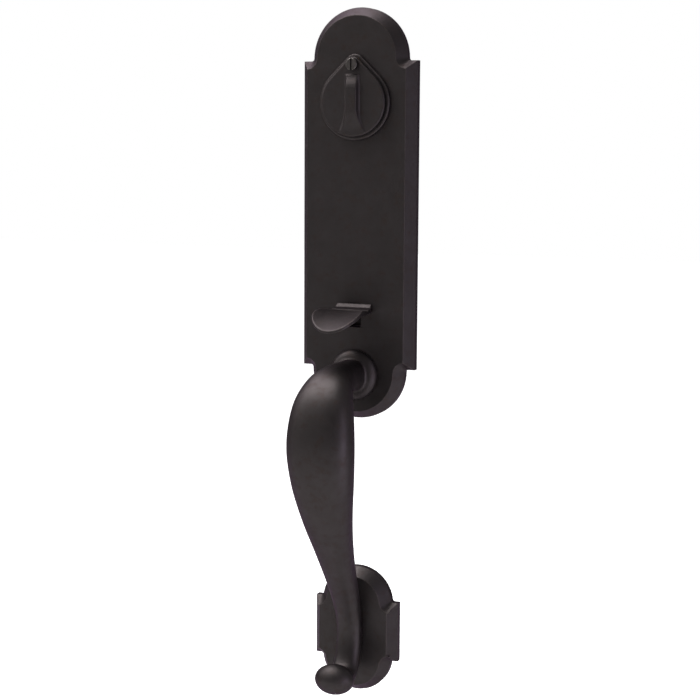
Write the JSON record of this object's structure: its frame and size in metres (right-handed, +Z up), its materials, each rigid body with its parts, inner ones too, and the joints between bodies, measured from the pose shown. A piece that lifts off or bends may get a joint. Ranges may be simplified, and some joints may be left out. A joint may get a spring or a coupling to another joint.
{
  "type": "entry door handleset",
  "caption": "Outside trim of an entry door: long arched plate with keyed cylinder under a swinging cover, thumb piece, cast bronze grip and small lower plate.",
  "frame": {"origin": "on the door's face, at the centre of the latch bore behind the thumb piece", "axes": "+X to the right seen from outside, +Y into the door, +Z up; the outside of the door faces -Y"},
  "size_m": [0.08, 0.1463, 0.462],
  "materials": {
    "cast_bronze": "dark patina on sand-cast bronze, satin",
    "dark_screw": "dark patina, turned, satin",
    "cylinder_brass": "turned brass",
    "zinc_steel": "zinc plated",
    "spring_steel": "spring steel, oiled"
  },
  "bodies": {
    "trim": {"upper_escutcheon": "cast_bronze", "cylinder_collar": "cast_bronze", "collar_screws": "zinc_steel", "cover_washer": "cylinder_brass", "cover_pivot_screw": "dark_screw", "cylinder_body": "cylinder_brass", "thumb_pivot_pin": "zinc_steel", "pin_clips": "spring_steel", "thumb_bracket": "zinc_steel", "bracket_screws": "zinc_steel", "thumb_return_spring": "spring_steel", "grip": "cast_bronze", "grip_upper_bolt": "zinc_steel", "grip_upper_washer": "zinc_steel", "lower_plate": "cast_bronze", "lower_post": "zinc_steel", "cylinder_posts": "zinc_steel", "latch_posts": "zinc_steel"},
    "cover": {"keyhole_cover": "cast_bronze"},
    "plug": {"cylinder_plug": "cylinder_brass", "plug_retainer": "cylinder_brass", "tailpiece": "zinc_steel", "retainer_screws": "zinc_steel"},
    "thumb": {"thumb_piece": "cast_bronze"}
  },
  "joints": [
    {"name": "cover_swing", "type": "hinge", "parent": "trim", "child": "cover", "pos_m": [0, -0.0174, 0.1642], "axis": [0, 1, 0], "range_deg": [-120, 120]},
    {"name": "key_turn", "type": "hinge", "parent": "trim", "child": "plug", "pos_m": [0, 0.005, 0.1397], "axis": [0, 1, 0], "range_deg": [-90, 90]},
    {"name": "thumb_press", "type": "hinge", "parent": "trim", "child": "thumb", "pos_m": [0, 0.001, -0.004], "axis": [1, 0, 0], "range_deg": [0, 12], "stiffness_Nm_per_rad": 0.5, "springref_deg": -11.46, "deforming": ["thumb_return_spring"]}
  ]
}
